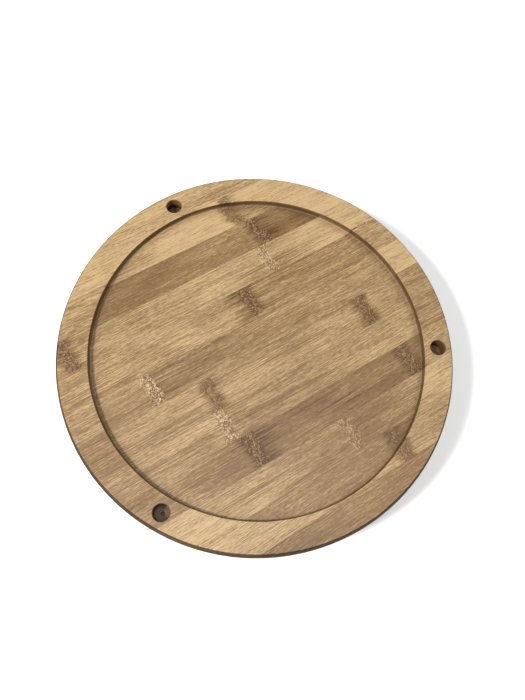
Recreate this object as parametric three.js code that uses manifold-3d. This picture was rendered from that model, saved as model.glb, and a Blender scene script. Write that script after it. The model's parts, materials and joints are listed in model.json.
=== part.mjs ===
// A bamboo lazy susan: a round tray with a turned recess and three post sockets, on a square
// ball-bearing swivel, on a smaller round base with four screwed rubber feet.
// Millimetres, +Z up. The origin is where the turning axis meets the surface that the feet stand on.
// The grain of the tray's strips runs along X.
import * as THREE from "three";
import { mergeVertices } from "three/addons/utils/BufferGeometryUtils.js";
import Module from "manifold-3d";

const wasm = await Module();
wasm.setup();

// ---- driving dimensions ----
const TRAY_DIAMETER = 254; // halfway up its crowned side
const TRAY_FACE_DIAMETER = 250;
const TRAY_THICKNESS = 15;
const RECESS_DIAMETER = 213.6;
const RECESS_DEPTH = 4.2;
const RECESS_COVE = 1.5; // radius where the recess's wall runs into its floor
const SOCKET_COUNT = 3;
const SOCKET_DIAMETER = 10;
const SOCKET_DEPTH = 9.3;
const SOCKET_PITCH_DIAMETER = 232.4;
const SOCKET_FIRST_ANGLE = Math.PI / 2;

const BASE_DIAMETER = 180;
const BASE_THICKNESS = 12;
const ACCESS_HOLE_DIAMETER = 20;

const SWIVEL_SIDE = 101.6;
const SWIVEL_HEIGHT = 8;
const SWIVEL_SHEET = 1;
const SWIVEL_CORNER = 7;
const SWIVEL_HOLE_PITCH = 88.9;
const BALL_COUNT = 24;
const BALL_DIAMETER = 4.5;
const BALL_CIRCLE_DIAMETER = 66;
const CAGE_THICKNESS = 1.2;
const CAGE_WALL = 1; // between a ball and the cage's edge

const FOOT_COUNT = 4;
const FOOT_HEIGHT = 5;
const FOOT_DIAMETER = 16;
const FOOT_CIRCLE_DIAMETER = 152;
const FOOT_LEDGE = 2;
const WASHER_THICKNESS = 0.8;

const GAP = 0.15; // all round a ball, a shank in its pilot hole and a shank in a plate
const ARRIS = 1.4; // rounding of the base's edges
const FINE_ARRIS = 0.4; // easing of the tray's, the recess's and the sockets' edges

// Segments in a turn, from the biggest pieces to the smallest.
const TRAY_SEGMENTS = 96;
const BASE_SEGMENTS = 72;
const RING_SEGMENTS = 48;
const CAGE_SEGMENTS = 54;
const HOLE_SEGMENTS = 24;
const FOOT_SEGMENTS = 20;
const SCREW_SEGMENTS = 12;

// ---- levels, from the surface up ----
const BASE_BOTTOM = FOOT_HEIGHT;
const BASE_TOP = BASE_BOTTOM + BASE_THICKNESS;
const TRAY_BOTTOM = BASE_TOP + SWIVEL_HEIGHT;
const TRAY_TOP = TRAY_BOTTOM + TRAY_THICKNESS;
const BALL_LEVEL = (BASE_TOP + TRAY_BOTTOM) / 2;

const BALL_RADIUS = BALL_DIAMETER / 2;
const BALL_CIRCLE_RADIUS = BALL_CIRCLE_DIAMETER / 2;
const SCREW_RADIUS_ON_PLATE = SWIVEL_HOLE_PITCH / Math.SQRT2;

// ---- materials ----
function material(color, roughness, metalness) {
  return new THREE.MeshStandardMaterial({ color, roughness, metalness });
}
const bamboo = () => material(0xc09a6b, 0.6, 0);
const zincPlate = () => material(0xb9bcbf, 0.35, 1);
const hardSteel = () => material(0xd8dadc, 0.15, 1);
const nylon = () => material(0xe8e4d8, 0.5, 0);
const rubber = () => material(0x2a2a2a, 0.85, 0);

// ---- solids ----
// A profile of [radius, height] points, bottom to top, spun about Z.
function turned(profile, segments) {
  const points = profile.map(([radius, height]) => new THREE.Vector2(radius, height));
  return new THREE.LatheGeometry(points, segments).rotateX(Math.PI / 2);
}

// Points of a quarter turn about [r, z], both ends included, angles in quarter turns.
function corner(r, z, radius, fromQuarter, steps = 2) {
  return Array.from({ length: steps + 1 }, (_, i) => {
    const angle = (fromQuarter + i / steps) * (Math.PI / 2);
    return [r + radius * Math.cos(angle), z + radius * Math.sin(angle)];
  });
}

function bodyOf(geometry) {
  const bare = geometry.clone();
  bare.deleteAttribute("normal");
  bare.deleteAttribute("uv");
  const merged = mergeVertices(bare, 1e-3);
  const triVerts = Uint32Array.from(merged.index.array);
  const vertProperties = merged.attributes.position.array;
  return new wasm.Manifold(new wasm.Mesh({ numProp: 3, vertProperties, triVerts }));
}

function geometryOf(body) {
  const { vertProperties, triVerts } = body.getMesh();
  const geometry = new THREE.BufferGeometry();
  geometry.setAttribute("position", new THREE.BufferAttribute(vertProperties, 3));
  geometry.setIndex(new THREE.BufferAttribute(triVerts, 1));
  return geometry;
}

function without(geometry, cutters) {
  const cut = cutters.reduce((body, cutter) => body.subtract(bodyOf(cutter)), bodyOf(geometry));
  return geometryOf(cut);
}

// A plain round plug from one height to another, for drilling.
function plug(radius, bottom, top, segments) {
  return turned([[0, bottom], [radius, bottom], [radius, top], [0, top]], segments);
}

function circlePlaces(count, radius, firstAngle) {
  return Array.from({ length: count }, (_, i) => {
    const angle = firstAngle + (i * 2 * Math.PI) / count;
    return new THREE.Vector3(radius * Math.cos(angle), radius * Math.sin(angle), 0);
  });
}

function movedTo(place, geometry) {
  return geometry.translate(place.x, place.y, 0);
}

// ---- places of the repeated pieces ----
const socketPlaces = circlePlaces(SOCKET_COUNT, SOCKET_PITCH_DIAMETER / 2, SOCKET_FIRST_ANGLE);
const ballPlaces = circlePlaces(BALL_COUNT, BALL_CIRCLE_RADIUS, 0);
const baseScrewPlaces = circlePlaces(4, SCREW_RADIUS_ON_PLATE, Math.PI / 4);
// The tray's swivel plate stands an eighth of a turn round, so that a tray screw faces the access hole.
const trayScrewPlaces = circlePlaces(4, SCREW_RADIUS_ON_PLATE, 0);
const footPlaces = circlePlaces(FOOT_COUNT, FOOT_CIRCLE_DIAMETER / 2, Math.PI / 4);
const accessHolePlace = trayScrewPlaces[3];

// ---- screws ----
const PLATE_SCREW = { shank: 2.0, head: 3.9, headHeight: 2.0, length: 9.5, grip: SWIVEL_SHEET };
const FOOT_GRIP = FOOT_LEDGE + WASHER_THICKNESS;
const FOOT_SCREW = { shank: 1.7, head: 3.5, headHeight: 1.4, length: 10.5, grip: FOOT_GRIP };

// Head down at height 0, shank and point upwards; the cross recess is cut in the head.
function screwGeometry({ shank, head, headHeight, length }) {
  const pointLength = 2.4 * shank;
  const flatOfHead = 0.6 * head;
  const rimOfHead = 0.6 * headHeight;
  const profile = [
    [0, 0],
    [flatOfHead, 0],
    [head, rimOfHead],
    [head, headHeight],
    [shank, headHeight],
    [shank, headHeight + length - pointLength],
    [0, headHeight + length],
  ];
  const slotLength = 1.1 * head;
  const slotWidth = 0.24 * head;
  const slotDepth = 0.6 * headHeight;
  const slots = [0, Math.PI / 2].map((angle) =>
    new THREE.BoxGeometry(slotLength, slotWidth, 2 * slotDepth).rotateZ(angle),
  );
  return without(turned(profile, SCREW_SEGMENTS), slots);
}

// The hole that a screw's shank and point take up in the wood, head side down at height 0.
function pilotGeometry({ shank, length, grip }) {
  const depth = length - grip + GAP;
  const taperLength = 2 * shank;
  const tipRadius = 0.6;
  return turned(
    [
      [0, -1],
      [shank + GAP, -1],
      [shank + GAP, depth - taperLength],
      [tipRadius, depth + GAP],
      [0, depth + GAP],
    ],
    SCREW_SEGMENTS,
  );
}

// ---- tray ----
// The side is an arc from one face to the other, widest halfway up. It stops short of both eased edges.
function crownedSide() {
  const half = TRAY_THICKNESS / 2;
  const crown = (TRAY_DIAMETER - TRAY_FACE_DIAMETER) / 2;
  const radius = (half ** 2 + crown ** 2) / (2 * crown);
  const limit = Math.asin((half - FINE_ARRIS) / radius);
  const steps = 8;
  return Array.from({ length: steps + 1 }, (_, i) => {
    const angle = limit * ((2 * i) / steps - 1);
    const reach = TRAY_DIAMETER / 2 - radius * (1 - Math.cos(angle));
    return [reach, TRAY_BOTTOM + half + radius * Math.sin(angle)];
  });
}

function trayGeometry() {
  const face = TRAY_FACE_DIAMETER / 2 - FINE_ARRIS;
  const recess = RECESS_DIAMETER / 2;
  const floor = TRAY_TOP - RECESS_DEPTH;
  const profile = [
    [0, TRAY_BOTTOM],
    [face, TRAY_BOTTOM],
    ...crownedSide(),
    [face, TRAY_TOP],
    ...corner(recess + FINE_ARRIS, TRAY_TOP - FINE_ARRIS, FINE_ARRIS, 1, 1),
    ...corner(recess - RECESS_COVE, floor + RECESS_COVE, RECESS_COVE, -1, 3).reverse(),
    [0, floor],
  ];
  const sockets = socketPlaces.map((place) => movedTo(place, socketGeometry()));
  const pilots = trayScrewPlaces.map((place) =>
    movedTo(place, pilotGeometry(PLATE_SCREW).translate(0, 0, TRAY_BOTTOM)),
  );
  return without(turned(profile, TRAY_SEGMENTS), [...sockets, ...pilots]);
}

// A flat-bottomed drilled socket with the small cone that the drill's centre point leaves.
function socketGeometry() {
  const radius = SOCKET_DIAMETER / 2;
  const floor = TRAY_TOP - SOCKET_DEPTH;
  const pointRadius = 1.1;
  return turned(
    [
      [0, floor - pointRadius],
      [pointRadius, floor],
      [radius, floor],
      [radius, TRAY_TOP - FINE_ARRIS],
      [radius + 2 * FINE_ARRIS, TRAY_TOP + FINE_ARRIS],
      [0, TRAY_TOP + FINE_ARRIS],
    ],
    HOLE_SEGMENTS,
  );
}

// ---- base ----
function baseGeometry() {
  const outer = BASE_DIAMETER / 2;
  const profile = [
    [0, BASE_BOTTOM],
    ...corner(outer - ARRIS, BASE_BOTTOM + ARRIS, ARRIS, 3),
    ...corner(outer - ARRIS, BASE_TOP - ARRIS, ARRIS, 0),
    [0, BASE_TOP],
  ];
  const access = plug(ACCESS_HOLE_DIAMETER / 2, BASE_BOTTOM - 1, BASE_TOP + 1, HOLE_SEGMENTS);
  const platePilots = baseScrewPlaces.map((place) =>
    movedTo(place, pilotGeometry(PLATE_SCREW).rotateX(Math.PI).translate(0, 0, BASE_TOP)),
  );
  const footPilots = footPlaces.map((place) =>
    movedTo(place, pilotGeometry(FOOT_SCREW).translate(0, 0, BASE_BOTTOM)),
  );
  const cutters = [movedTo(accessHolePlace, access), ...platePilots, ...footPilots];
  return without(turned(profile, BASE_SEGMENTS), cutters);
}

// ---- swivel ----
// Radii and heights of the pressed ring, above the outer face of its plate.
const RACE_OUTER_CREST = 36;
const RACE_INNER_CREST = 30.4;
const RACE_FOOT = 38;
const RACE_FLOOR = SWIVEL_HEIGHT / 2 - BALL_RADIUS - GAP;
const RACE_CREST = RACE_FLOOR + 1;
const GROOVE_HALF_WIDTH = 1.4;
const GROOVE_EDGE = RACE_FLOOR + 0.3;
const LIP_RADIUS = 28;
const BORE_RADIUS = 26;
const CURL_RADIUS = 29.4;
const CURL_THICKNESS = 0.8;
const CURL_EASING = 0.4;
const CURL_CLEARANCE = 0.4;

// A square sheet with round corners, four screw holes and a round opening for the pressed ring.
function squareSheetGeometry() {
  const middle = SWIVEL_SIDE / 2 - SWIVEL_CORNER;
  const holeRadius = PLATE_SCREW.shank + 2 * GAP;
  const shape = new THREE.Shape();
  [0, 1, 2, 3].forEach((side) => {
    const x = middle * (side === 0 || side === 3 ? 1 : -1);
    const y = middle * (side < 2 ? 1 : -1);
    shape.absarc(x, y, SWIVEL_CORNER, (side * Math.PI) / 2, ((side + 1) * Math.PI) / 2, false);
  });
  shape.holes.push(circlePath(0, 0, RACE_FOOT, RING_SEGMENTS));
  baseScrewPlaces.forEach(({ x, y }) => shape.holes.push(circlePath(x, y, holeRadius, SCREW_SEGMENTS)));
  return new THREE.ExtrudeGeometry(shape, { depth: SWIVEL_SHEET, bevelEnabled: false, curveSegments: 4 });
}

function circlePath(x, y, radius, segments) {
  const points = circlePlaces(segments, radius, 0).map((p) => new THREE.Vector2(x + p.x, y + p.y));
  return new THREE.Path(points);
}

// The pressed ring from its foot in the flat sheet to its inner crest: upper face of the sheet.
const ringUpperFace = [
  [RACE_FOOT + 1, SWIVEL_SHEET],
  [RACE_FOOT, SWIVEL_SHEET],
  [RACE_OUTER_CREST, RACE_CREST],
  [BALL_CIRCLE_RADIUS + GROOVE_HALF_WIDTH, GROOVE_EDGE],
  [BALL_CIRCLE_RADIUS, RACE_FLOOR],
  [BALL_CIRCLE_RADIUS - GROOVE_HALF_WIDTH, GROOVE_EDGE],
  [RACE_INNER_CREST, RACE_CREST],
];
const sheetBelow = ([radius, height]) => [radius, height - SWIVEL_SHEET];

// The lower plate ends in a flat inner lip.
function lowerPlateGeometry() {
  const upper = [...ringUpperFace, [LIP_RADIUS, RACE_CREST]];
  const lower = upper.map(sheetBelow).reverse();
  const ring = turned([...lower, ...upper, lower[0]], RING_SEGMENTS);
  const plate = bodyOf(squareSheetGeometry()).add(bodyOf(ring));
  return geometryOf(plate).translate(0, 0, BASE_TOP);
}

// The upper plate turns down inside the lower one's lip and curls out under it, which holds the two
// plates together. It is drawn lower side up and then turned over.
function upperPlateGeometry() {
  const curlTop = SWIVEL_HEIGHT - CURL_CLEARANCE;
  const curlBottom = curlTop - CURL_THICKNESS;
  const faceOnBalls = [
    ...ringUpperFace,
    [BORE_RADIUS + SWIVEL_SHEET, RACE_CREST],
    [BORE_RADIUS + SWIVEL_SHEET, curlBottom],
    [CURL_RADIUS, curlBottom],
    [CURL_RADIUS, curlTop],
    [BORE_RADIUS + CURL_EASING, curlTop],
    [BORE_RADIUS, curlTop - CURL_EASING],
    [BORE_RADIUS, RACE_CREST - SWIVEL_SHEET],
  ];
  const faceOnTray = ringUpperFace.map(sheetBelow).reverse();
  const ring = turned([...faceOnTray, ...faceOnBalls, faceOnTray[0]], RING_SEGMENTS);
  const plate = bodyOf(squareSheetGeometry()).add(bodyOf(ring));
  return geometryOf(plate).rotateX(Math.PI).rotateZ(Math.PI / 4).translate(0, 0, TRAY_BOTTOM);
}

// A flat ring with one round pocket for each ball.
function ballCageGeometry() {
  const halfWidth = BALL_RADIUS + CAGE_WALL;
  const inner = BALL_CIRCLE_RADIUS - halfWidth;
  const outer = BALL_CIRCLE_RADIUS + halfWidth;
  const low = BALL_LEVEL - CAGE_THICKNESS / 2;
  const high = BALL_LEVEL + CAGE_THICKNESS / 2;
  const profile = [[inner, low], [outer, low], [outer, high], [inner, high], [inner, low]];
  const pocket = () => plug(BALL_RADIUS + GAP, low - 1, high + 1, SCREW_SEGMENTS);
  const pockets = ballPlaces.map((place) => movedTo(place, pocket()));
  return without(turned(profile, CAGE_SEGMENTS), pockets);
}

// ---- feet ----
const FOOT_WELL_RADIUS = 4.2;
const FOOT_HOLE_RADIUS = FOOT_SCREW.shank + GAP;
const FOOT_LEDGE_LEVEL = FOOT_HEIGHT - FOOT_LEDGE;
const FOOT_EDGE = 0.8;
const WASHER_RADIUS = 3.9;

function footGeometry() {
  const outer = FOOT_DIAMETER / 2;
  const well = FOOT_WELL_RADIUS;
  const hole = FOOT_HOLE_RADIUS;
  const ledge = FOOT_LEDGE_LEVEL;
  return turned(
    [
      [well, 0],
      ...corner(outer - FOOT_EDGE, FOOT_EDGE, FOOT_EDGE, 3, 1),
      [outer, FOOT_HEIGHT],
      [hole, FOOT_HEIGHT],
      [hole, ledge],
      [well, ledge],
      [well, 0],
    ],
    FOOT_SEGMENTS,
  );
}

// A flat steel washer between the screw's head and the ledge in the rubber.
function washerGeometry() {
  const inner = FOOT_HOLE_RADIUS;
  const outer = WASHER_RADIUS;
  const high = FOOT_LEDGE_LEVEL;
  const low = high - WASHER_THICKNESS;
  return turned([[inner, low], [outer, low], [outer, high], [inner, high], [inner, low]], FOOT_SEGMENTS);
}

// ---- assembly ----
const lazySusan = new THREE.Group();

function add(name, geometry, meshMaterial, place = new THREE.Vector3(), turn = 0) {
  const mesh = new THREE.Mesh(geometry, meshMaterial);
  mesh.name = name;
  mesh.position.copy(place);
  mesh.rotation.x = turn;
  lazySusan.add(mesh);
}

function addEach(name, places, height, makeGeometry, makeMaterial, turn = 0) {
  places.forEach(({ x, y }, i) =>
    add(`${name}_${i + 1}`, makeGeometry(), makeMaterial(), new THREE.Vector3(x, y, height), turn),
  );
}

const ballGeometry = () => new THREE.SphereGeometry(BALL_RADIUS, 10, 8);
const plateScrew = () => screwGeometry(PLATE_SCREW);
const footScrew = () => screwGeometry(FOOT_SCREW);
const trayScrewHead = TRAY_BOTTOM - SWIVEL_SHEET - PLATE_SCREW.headHeight;
const baseScrewHead = BASE_TOP + SWIVEL_SHEET + PLATE_SCREW.headHeight;
const footScrewHead = FOOT_HEIGHT - FOOT_SCREW.grip - FOOT_SCREW.headHeight;

add("tray", trayGeometry(), bamboo());
add("swivel_upper_plate", upperPlateGeometry(), zincPlate());
addEach("tray_screw", trayScrewPlaces, trayScrewHead, plateScrew, zincPlate);

add("ball_cage", ballCageGeometry(), nylon());
addEach("bearing_ball", ballPlaces, BALL_LEVEL, ballGeometry, hardSteel);

add("base_disc", baseGeometry(), bamboo());
add("swivel_lower_plate", lowerPlateGeometry(), zincPlate());
addEach("base_screw", baseScrewPlaces, baseScrewHead, plateScrew, zincPlate, Math.PI);
addEach("foot", footPlaces, 0, footGeometry, rubber);
addEach("foot_washer", footPlaces, 0, washerGeometry, zincPlate);
addEach("foot_screw", footPlaces, footScrewHead, footScrew, zincPlate);

export default lazySusan;
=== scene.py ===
"""Looks of a bamboo lazy susan: a turned tray on a ball-bearing swivel and a footed base.

Metres, +Z up. The grain of the tray's strips runs along X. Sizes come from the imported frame, and the
few that it doesn't give are named below in millimetres.
"""
import json
import math

import bmesh
import bpy
from mathutils import Matrix, Vector


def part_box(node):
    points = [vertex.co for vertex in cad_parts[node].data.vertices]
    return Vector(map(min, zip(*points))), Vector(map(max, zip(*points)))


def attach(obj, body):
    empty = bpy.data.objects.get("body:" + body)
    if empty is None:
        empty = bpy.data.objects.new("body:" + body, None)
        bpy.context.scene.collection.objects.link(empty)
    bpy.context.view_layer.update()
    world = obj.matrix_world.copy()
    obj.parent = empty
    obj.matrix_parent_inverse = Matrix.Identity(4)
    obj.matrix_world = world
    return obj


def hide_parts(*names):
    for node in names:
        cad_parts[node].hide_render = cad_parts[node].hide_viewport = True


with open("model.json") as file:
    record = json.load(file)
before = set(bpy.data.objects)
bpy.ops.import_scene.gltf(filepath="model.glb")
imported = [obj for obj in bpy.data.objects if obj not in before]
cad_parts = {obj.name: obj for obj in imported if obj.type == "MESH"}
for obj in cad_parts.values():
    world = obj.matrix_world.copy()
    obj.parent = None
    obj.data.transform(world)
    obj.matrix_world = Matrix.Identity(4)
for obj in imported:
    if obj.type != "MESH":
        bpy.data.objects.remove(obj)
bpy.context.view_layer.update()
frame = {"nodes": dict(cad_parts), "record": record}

MM = 0.001
TURN = 2 * math.pi


def box_mm(node):
    """Lowest and highest corners of a CAD node, in millimetres."""
    low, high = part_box(node)
    return low / MM, high / MM


def centre_mm(node):
    low, high = box_mm(node)
    return (low + high) / 2


def nodes_named(stem):
    """The CAD nodes STEM_1, STEM_2 and so on, in order."""
    found = [n for n in frame["nodes"] if n.rsplit("_", 1)[0] == stem]
    return sorted(found, key=lambda n: int(n.rsplit("_", 1)[1]))


def mount_mm(name):
    mount = next(m for m in frame["record"]["mounts"] if m["name"] == name)
    return Vector(mount["pos_m"]) / MM


def opening_centre_mm(name):
    opening = next(o for o in frame["record"]["physics"]["openings"] if o["name"] == name)
    low, high = (Vector(corner) for corner in opening["box_m"])
    return (low + high) / 2 / MM


# ---------------------------------------------------------------- sizes, in millimetres
TRAY_LOW, TRAY_HIGH = box_mm("tray")
TRAY_RADIUS = TRAY_HIGH.x
TRAY_TOP = TRAY_HIGH.z
TRAY_BOTTOM = TRAY_LOW.z
TRAY_FACE_RADIUS = 125.0
RIM_INSIDE_EDGE = 123.0  # between the sockets and the outer side
RECESS_RADIUS = 106.8
RECESS_FLOOR = mount_mm("recess_floor").z
RECESS_COVE = 1.5
SOCKET_RADIUS = 5.0
SOCKET_FLOOR = mount_mm("socket_floor_1").z
DRILL_POINT = 1.1
BASE_ARRIS = 1.4
FINE_ARRIS = 0.35

BASE_LOW, BASE_HIGH = box_mm("base_disc")
BASE_RADIUS = BASE_HIGH.x
ACCESS_RADIUS = 10.0

STRIP_WIDTH = 21.44
STRIP_OFFSET = -0.4
TRAY_PLY = (TRAY_TOP - TRAY_BOTTOM) / 3
BASE_PLY = (BASE_HIGH.z - BASE_LOW.z) / 3

SHEET = 1.0
SHEET_CORNER = 7.0
RACE_RADIUS = 33.0
BALL_RADIUS = (box_mm("bearing_ball_1")[1].x - box_mm("bearing_ball_1")[0].x) / 2
BALL_CLEARANCE = 0.12
SWIVEL_HALF = box_mm("swivel_lower_plate")[1].x
PLATE_HOLE_RADIUS = 2.3
SHANK_CLEARANCE = 0.15
FOOT_RADIUS = 8.0
FOOT_WELL_RADIUS = 4.2


# ---------------------------------------------------------------- mesh helpers
def arc(radius_at, height_at, radius, from_degrees, to_degrees, steps=6):
    """Profile points round [radius_at, height_at]; 0 degrees points away from the axis, 90 up."""
    angles = [math.radians(from_degrees + (to_degrees - from_degrees) * i / steps) for i in range(steps + 1)]
    return [(radius_at + radius * math.cos(a), height_at + radius * math.sin(a)) for a in angles]


def eased(points, passes=2, share=0.25):
    """An open profile with its corners cut off again and again, which rounds them."""
    for _ in range(passes):
        cut = [points[0]]
        for (r0, z0), (r1, z1) in zip(points, points[1:]):
            cut.append((r0 + (r1 - r0) * share, z0 + (z1 - z0) * share))
            cut.append((r1 + (r0 - r1) * share, z1 + (z0 - z1) * share))
        points = cut + [points[-1]]
    return points


def spin(bm, profile, segments):
    """Adds a profile of (radius, height) points spun about Z. A point on the axis becomes one vertex."""
    rings = []
    for radius, height in profile:
        if radius < 1e-6:
            rings.append([bm.verts.new((0, 0, height))])
            continue
        turns = [TURN * i / segments for i in range(segments)]
        rings.append([bm.verts.new((radius * math.cos(t), radius * math.sin(t), height)) for t in turns])
    for low, high in zip(rings, rings[1:]):
        for i in range(segments):
            j = (i + 1) % segments
            corners = [low[i % len(low)], low[j % len(low)], high[j % len(high)], high[i % len(high)]]
            unique = list(dict.fromkeys(corners))
            if len(unique) > 2:
                bm.faces.new(unique)


def turned(profile, segments):
    bm = bmesh.new()
    spin(bm, profile, segments)
    bmesh.ops.remove_doubles(bm, verts=bm.verts, dist=1e-5)
    bmesh.ops.recalc_face_normals(bm, faces=bm.faces)
    return bm


def circle(bm, x, y, radius, segments, height=0.0):
    """A closed loop of edges round a point."""
    turns = [TURN * i / segments for i in range(segments)]
    verts = [bm.verts.new((x + radius * math.cos(t), y + radius * math.sin(t), height)) for t in turns]
    return closed_loop(bm, verts)


def closed_loop(bm, verts):
    return [bm.edges.new((a, b)) for a, b in zip(verts, verts[1:] + verts[:1])]


def round_cornered_loop(bm, half, radius, height, steps=8):
    """The outline of a square with round corners."""
    verts = []
    for quarter in range(4):
        x = (half - radius) * (1 if quarter in (0, 3) else -1)
        y = (half - radius) * (1 if quarter < 2 else -1)
        for i in range(steps + 1):
            a = (quarter + i / steps) * TURN / 4
            verts.append(bm.verts.new((x + radius * math.cos(a), y + radius * math.sin(a), height)))
    return closed_loop(bm, verts)


def in_metres(bm, name, place=(0, 0, 0), turn=None):
    """Makes an object of a mesh built in millimetres, put at a place in millimetres."""
    if turn is not None:
        bm.transform(turn)
    bm.transform(Matrix.Translation(place))
    bm.transform(Matrix.Scale(MM, 4))
    mesh = bpy.data.meshes.new(name)
    bm.to_mesh(mesh)
    bm.free()
    obj = bpy.data.objects.new(name, mesh)
    bpy.context.scene.collection.objects.link(obj)
    return obj


def apply_modifiers(obj):
    """Turns what the modifiers make into the object's own mesh."""
    bpy.context.view_layer.update()
    evaluated = obj.evaluated_get(bpy.context.evaluated_depsgraph_get())
    mesh = bpy.data.meshes.new_from_object(evaluated)
    old = obj.data
    obj.modifiers.clear()
    obj.data = mesh
    bpy.data.meshes.remove(old)


def cut_out(obj, cutters):
    """Cuts each cutter from the object and removes the cutter."""
    for cutter in cutters:
        modifier = obj.modifiers.new("cut", "BOOLEAN")
        modifier.operation = "DIFFERENCE"
        modifier.solver = "EXACT"
        modifier.object = cutter
    apply_modifiers(obj)
    if not obj.data.polygons:
        raise RuntimeError(f"cutting left nothing of {obj.name}")
    for cutter in cutters:
        bpy.data.objects.remove(cutter)


def bevel(obj, width_mm, segments=2, angle=35):
    modifier = obj.modifiers.new("arris", "BEVEL")
    modifier.width = width_mm * MM
    modifier.segments = segments
    modifier.limit_method = "ANGLE"
    modifier.angle_limit = math.radians(angle)
    modifier.harden_normals = False
    apply_modifiers(obj)


def solidify(obj, thickness_mm):
    """Gives a surface thickness on the side that its faces point away from."""
    modifier = obj.modifiers.new("sheet", "SOLIDIFY")
    modifier.thickness = thickness_mm * MM
    modifier.offset = -1
    modifier.use_even_offset = True
    apply_modifiers(obj)


def finish_surface(obj, sharp_degrees=40):
    """Smooth shading that breaks at sharp edges and keeps flat faces flat."""
    bm = bmesh.new()
    bm.from_mesh(obj.data)
    bmesh.ops.remove_doubles(bm, verts=bm.verts, dist=1e-8)
    for edge in bm.edges:
        sharp = len(edge.link_faces) == 2 and edge.calc_face_angle(0.0) > math.radians(sharp_degrees)
        edge.smooth = not sharp
    for face in bm.faces:
        face.smooth = True
    bm.to_mesh(obj.data)
    bm.free()
    weighted = obj.modifiers.new("flat_faces_stay_flat", "WEIGHTED_NORMAL")
    weighted.keep_sharp = True
    weighted.weight = 80


def piece(obj, body, material, slot, *nodes):
    """Gives a finished mesh its material and its body, and hides the CAD nodes that it stands for."""
    finish_surface(obj)
    obj.data.materials.clear()
    obj.data.materials.append(material)
    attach(obj, body)
    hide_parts(*nodes)
    return obj


# ---------------------------------------------------------------- material helpers
class Graph:
    """A material with short names for the node calls that repeat."""

    def __init__(self, name):
        self.material = bpy.data.materials.new(name)
        self.material.use_nodes = True
        self.tree = self.material.node_tree
        self.shader = next(n for n in self.tree.nodes if n.type == "BSDF_PRINCIPLED")

    def put(self, socket, value):
        if isinstance(value, bpy.types.NodeSocket):
            self.tree.links.new(value, socket)
        elif value is not None:
            socket.default_value = value

    def node(self, kind, inputs, out=0, **settings):
        made = self.tree.nodes.new("ShaderNode" + kind)
        for key, value in settings.items():
            setattr(made, key, value)
        for key, value in inputs.items():
            self.put(made.inputs[key], value)
        return made.outputs[out]

    def math(self, operation, a, b=None, c=None, clamp=False):
        return self.node("Math", {0: a, 1: b, 2: c}, operation=operation, use_clamp=clamp)

    def between(self, value, low, high, to_low=0.0, to_high=1.0):
        """A smooth step from to_low at low to to_high at high."""
        ends = {"Value": value, "From Min": low, "From Max": high, "To Min": to_low, "To Max": to_high}
        return self.node("MapRange", ends, interpolation_type="SMOOTHSTEP")

    def mix(self, share, a, b):
        return self.node("Mix", {0: share, 2: a, 3: b})

    def mix_colour(self, share, a, b, blend="MIX"):
        return self.node("Mix", {0: share, 6: a, 7: b}, out=2, data_type="RGBA", blend_type=blend)

    def vector(self, x, y, z):
        return self.node("CombineXYZ", {0: x, 1: y, 2: z})

    def scaled(self, vector, factors):
        return self.node("VectorMath", {0: vector, 1: factors}, operation="MULTIPLY")

    def noise(self, vector, scale=1.0, detail=2.0, roughness=0.5, distortion=0.0):
        inputs = {
            "Vector": vector, "Scale": scale, "Detail": detail,
            "Roughness": roughness, "Distortion": distortion,
        }
        return self.node("TexNoise", inputs)

    def cells(self, vector, scale=1.0, randomness=1.0):
        return self.node("TexVoronoi", {"Vector": vector, "Scale": scale, "Randomness": randomness})

    def place(self):
        """The object's own coordinates, in millimetres."""
        return self.scaled(self.node("TexCoord", {}, out=3), (1 / MM, 1 / MM, 1 / MM))

    def xyz(self, vector):
        made = self.tree.nodes.new("ShaderNodeSeparateXYZ")
        self.put(made.inputs[0], vector)
        return made.outputs

    def bump(self, height, depth_mm, normal=None):
        inputs = {"Height": height, "Distance": depth_mm * MM, "Strength": 1.0, "Normal": normal}
        return self.node("Bump", inputs)

    def per_strip(self, index, rows):
        """Three numbers from 0 to 1 for each whole index from 0, as one constant ramp."""
        made = self.tree.nodes.new("ShaderNodeValToRGB")
        made.color_ramp.interpolation = "CONSTANT"
        stops = made.color_ramp.elements
        while len(stops) < len(rows):
            stops.new(0.999)
        for i, row in enumerate(rows):
            stops[i].position = i / len(rows)
            stops[i].color = (*row, 1)
        self.put(made.inputs[0], self.math("DIVIDE", self.math("ADD", index, 0.5), float(len(rows))))
        return self.xyz(made.outputs[0])


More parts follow.
